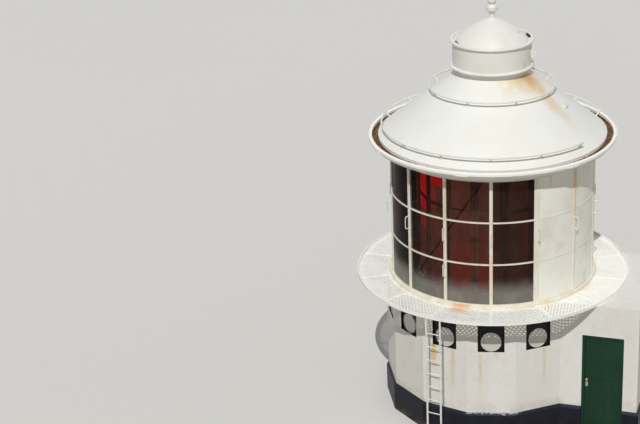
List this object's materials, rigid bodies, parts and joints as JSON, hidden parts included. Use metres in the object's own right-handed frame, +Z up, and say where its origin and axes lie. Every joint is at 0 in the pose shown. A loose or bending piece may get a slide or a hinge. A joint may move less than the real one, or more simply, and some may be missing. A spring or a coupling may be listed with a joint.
{
  "type": "lighthouse lantern house",
  "caption": "Round glazed lantern on a low polygonal base room with a squared entry, ring walkway, gutter, conical roof with tube rails, ventilator drum, domed cap and finial",
  "frame": {"origin": "on the ground, at the centre of the round base", "axes": "+Z up along the axis of the lantern, +X along the squared entry, -Y out of the side that the door is in"},
  "size_m": [6.3497, 5.8, 9.3744],
  "materials": {
    "plinth": "gloss paint",
    "wall_white": "satin paint",
    "floor": "matte",
    "black_paint": "satin",
    "white_metal": "satin",
    "sill_stone": "matte",
    "door_green": "satin",
    "knob_brass": "polished",
    "hinge_metal": "satin",
    "cream_paint": "satin",
    "grey_deck": "satin",
    "inner_grey": "satin",
    "screen_dark": "satin",
    "red_glass": "gloss",
    "clear_glass": "gloss",
    "gutter_paint": "satin paint, stained trough",
    "roof_paint": "satin",
    "finial_paint": "satin paint",
    "strap_metal": "satin"
  },
  "bodies": {
    "building": {"plinth_blocks": "plinth", "base_walls": "wall_white", "entry_walls": "wall_white", "entry_roof": "wall_white", "base_floor": "floor", "vent_niches": "black_paint", "vent_discs": "white_metal", "door_sill": "sill_stone", "door_frame": "door_green", "hinge_posts": "hinge_metal", "curb_ring": "cream_paint", "walkway_plates": "grey_deck", "walkway_strips": "grey_deck", "walkway_rim": "white_metal", "walkway_brackets": "white_metal", "inner_ledge": "inner_grey", "ledge_ribs": "inner_grey", "screen_frames": "screen_dark", "screen_panes": "red_glass", "astragals": "white_metal", "glazing_bars": "white_metal", "glass_lower": "clear_glass", "glass_middle": "clear_glass", "glass_upper": "clear_glass", "blank_panels": "white_metal", "grab_handles": "white_metal", "head_ring": "white_metal", "soffit": "white_metal", "gutter": "gutter_paint", "gutter_straps": "white_metal", "roof_sheets": "roof_paint", "rail_posts": "white_metal", "roof_rails": "white_metal", "vent_drum": "white_metal", "vent_lip": "white_metal", "vent_dome": "white_metal", "finial": "finial_paint", "earth_strap": "strap_metal", "roof_fixings": "white_metal", "ladder_stringers": "white_metal", "ladder_rungs": "white_metal"},
    "door": {"door_leaf": "door_green", "door_knobs": "knob_brass", "door_hinges": "hinge_metal"}
  },
  "joints": [
    {"name": "door_hinge", "type": "hinge", "parent": "building", "child": "door", "pos_m": [3.05571, -1.29816, 1.1975], "axis": [0, 0, -1], "range_deg": [0, 90]}
  ]
}
